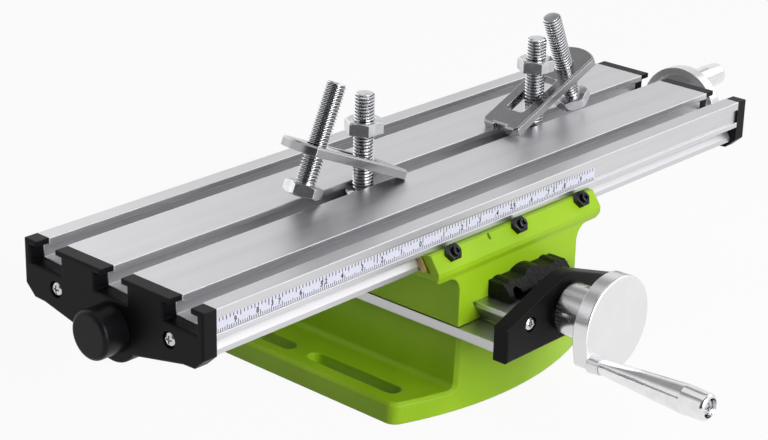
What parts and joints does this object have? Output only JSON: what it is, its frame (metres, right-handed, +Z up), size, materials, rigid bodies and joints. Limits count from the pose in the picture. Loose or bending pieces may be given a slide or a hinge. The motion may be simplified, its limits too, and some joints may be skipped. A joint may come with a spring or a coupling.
{
  "type": "cross slide table",
  "caption": "Two-axis cross slide table: slotted deck on dovetail slides, moved by crank handwheels on lead screws, with strap clamps for holding work.",
  "frame": {"origin": "centre of the base casting's underside, midway between its four mounting slots", "axes": "+X right along the long table, +Y away from the front handwheel, +Z up"},
  "size_m": [0.3932, 0.2464, 0.1211],
  "materials": {
    "cast_green": "lime green paint over a fine cast grain, semi-gloss",
    "extruded_aluminium": "natural anodised extrusion, satin with fine lines along its length",
    "moulded_black": "black moulding, satin",
    "zinc_steel": "bright zinc plate",
    "black_steel": "black oxide",
    "gib_brass": "machined brass, slightly dull",
    "scale_white": "white tape with black divisions",
    "turned_steel": "rolled thread, light oil",
    "dial_steel": "satin chrome with engraved divisions",
    "wheel_aluminium": "polished cast aluminium",
    "grip_chrome": "bright chrome",
    "bright_steel": "bright zinc plate with rolled threads",
    "strap_steel": "zinc plated pressed steel, lightly scratched"
  },
  "bodies": {
    "base": {"base_casting": "cast_green", "y_rail": "extruded_aluminium", "y_rail_screws": "zinc_steel", "y_front_cap": "moulded_black", "y_rear_cap": "moulded_black", "y_front_cap_screws": "zinc_steel", "y_rear_cap_screws": "zinc_steel", "y_near_bush": "gib_brass", "y_far_bush": "gib_brass", "y_screw_cover": "moulded_black"},
    "y_screw": {"y_lead_screw": "turned_steel", "y_dial": "dial_steel", "y_dial_grub": "black_steel", "y_handwheel": "wheel_aluminium", "y_crank_pin": "zinc_steel"},
    "y_handle": {"y_grip": "grip_chrome"},
    "saddle": {"saddle_casting": "cast_green", "x_gib": "gib_brass", "y_gib": "gib_brass", "x_gib_screws": "black_steel", "x_gib_lock_nuts": "black_steel", "y_gib_screws": "black_steel", "y_gib_lock_nuts": "black_steel", "x_nut": "gib_brass", "y_nut": "gib_brass", "x_nut_screws": "zinc_steel", "y_nut_screws": "zinc_steel", "dust_guard": "moulded_black", "guard_screws": "black_steel"},
    "table": {"table_extrusion": "extruded_aluminium", "scale_tape": "scale_white", "left_end_cap": "moulded_black", "right_end_cap": "moulded_black", "left_cap_screws": "zinc_steel", "right_cap_screws": "zinc_steel", "x_near_bush": "gib_brass", "x_far_bush": "gib_brass", "x_screw_cover": "moulded_black"},
    "x_screw": {"x_lead_screw": "turned_steel", "x_dial": "dial_steel", "x_dial_grub": "black_steel", "x_handwheel": "wheel_aluminium", "x_crank_pin": "zinc_steel"},
    "x_handle": {"x_grip": "grip_chrome"},
    "left_bolt": {"left_clamp_bolt": "bright_steel"},
    "left_nut": {"left_clamp_nut": "bright_steel"},
    "left_strap": {"left_clamp_strap": "strap_steel"},
    "left_jack": {"left_jack_bolt": "bright_steel"},
    "right_bolt": {"right_clamp_bolt": "bright_steel"},
    "right_nut": {"right_clamp_nut": "bright_steel"},
    "right_strap": {"right_clamp_strap": "strap_steel"},
    "right_jack": {"right_jack_bolt": "bright_steel"}
  },
  "joints": [
    {"name": "y_screw_turn", "type": "hinge", "parent": "base", "child": "y_screw", "pos_m": [0, -0.0834, 0.0408], "axis": [0, -1, 0], "range_deg": [-1081, 5851]},
    {"name": "saddle_slide", "type": "slide", "parent": "base", "child": "saddle", "axis": [0, 1, 0], "range_m": [-0.006, 0.0325]},
    {"name": "y_handle_spin", "type": "hinge", "parent": "y_screw", "child": "y_handle", "pos_m": [-0.01402, -0.12, 0.0305], "axis": [0, -1, 0], "continuous": true},
    {"name": "x_screw_turn", "type": "hinge", "parent": "table", "child": "x_screw", "pos_m": [0.149, -0.0164, 0.0587], "axis": [1, 0, 0], "range_deg": [-16201, 16201]},
    {"name": "table_slide", "type": "slide", "parent": "saddle", "child": "table", "axis": [1, 0, 0], "range_m": [-0.09, 0.09]},
    {"name": "x_handle_spin", "type": "hinge", "parent": "x_screw", "child": "x_handle", "pos_m": [0.2, 0.001, 0.0587], "axis": [1, 0, 0], "continuous": true},
    {"name": "left_bolt_slide", "type": "slide", "parent": "table", "child": "left_bolt", "axis": [1, 0, 0], "range_m": [-0.08, 0.028]},
    {"name": "left_nut_turn", "type": "hinge", "parent": "left_bolt", "child": "left_nut", "pos_m": [-0.0325, -0.0164, 0.1], "axis": [0, 0, 1], "continuous": true},
    {"name": "left_strap_swivel", "type": "hinge", "parent": "left_bolt", "child": "left_strap", "pos_m": [-0.0325, -0.0164, 0.09], "axis": [0, 0, 1], "range_deg": [-60, 60]},
    {"name": "left_jack_turn", "type": "hinge", "parent": "left_strap", "child": "left_jack", "pos_m": [-0.05723, -0.0151, 0.09496], "axis": [0.3982, -0.0209, 0.9171], "continuous": true},
    {"name": "right_bolt_slide", "type": "slide", "parent": "table", "child": "right_bolt", "axis": [1, 0, 0], "range_m": [-0.028, 0.05]},
    {"name": "right_nut_turn", "type": "hinge", "parent": "right_bolt", "child": "right_nut", "pos_m": [0.068, -0.0164, 0.1], "axis": [0, 0, 1], "continuous": true},
    {"name": "right_strap_swivel", "type": "hinge", "parent": "right_bolt", "child": "right_strap", "pos_m": [0.068, -0.0164, 0.09], "axis": [0, 0, 1], "range_deg": [-60, 60]},
    {"name": "right_jack_turn", "type": "hinge", "parent": "right_strap", "child": "right_jack", "pos_m": [0.08688, -0.01699, 0.09496], "axis": [-0.3986, 0.0125, 0.9171], "continuous": true}
  ],
  "couplings": [
    {"joint": "y_screw_turn", "follows": "saddle_slide", "rad_per_m": 3141.6},
    {"joint": "x_screw_turn", "follows": "table_slide", "rad_per_m": 3141.6}
  ]
}
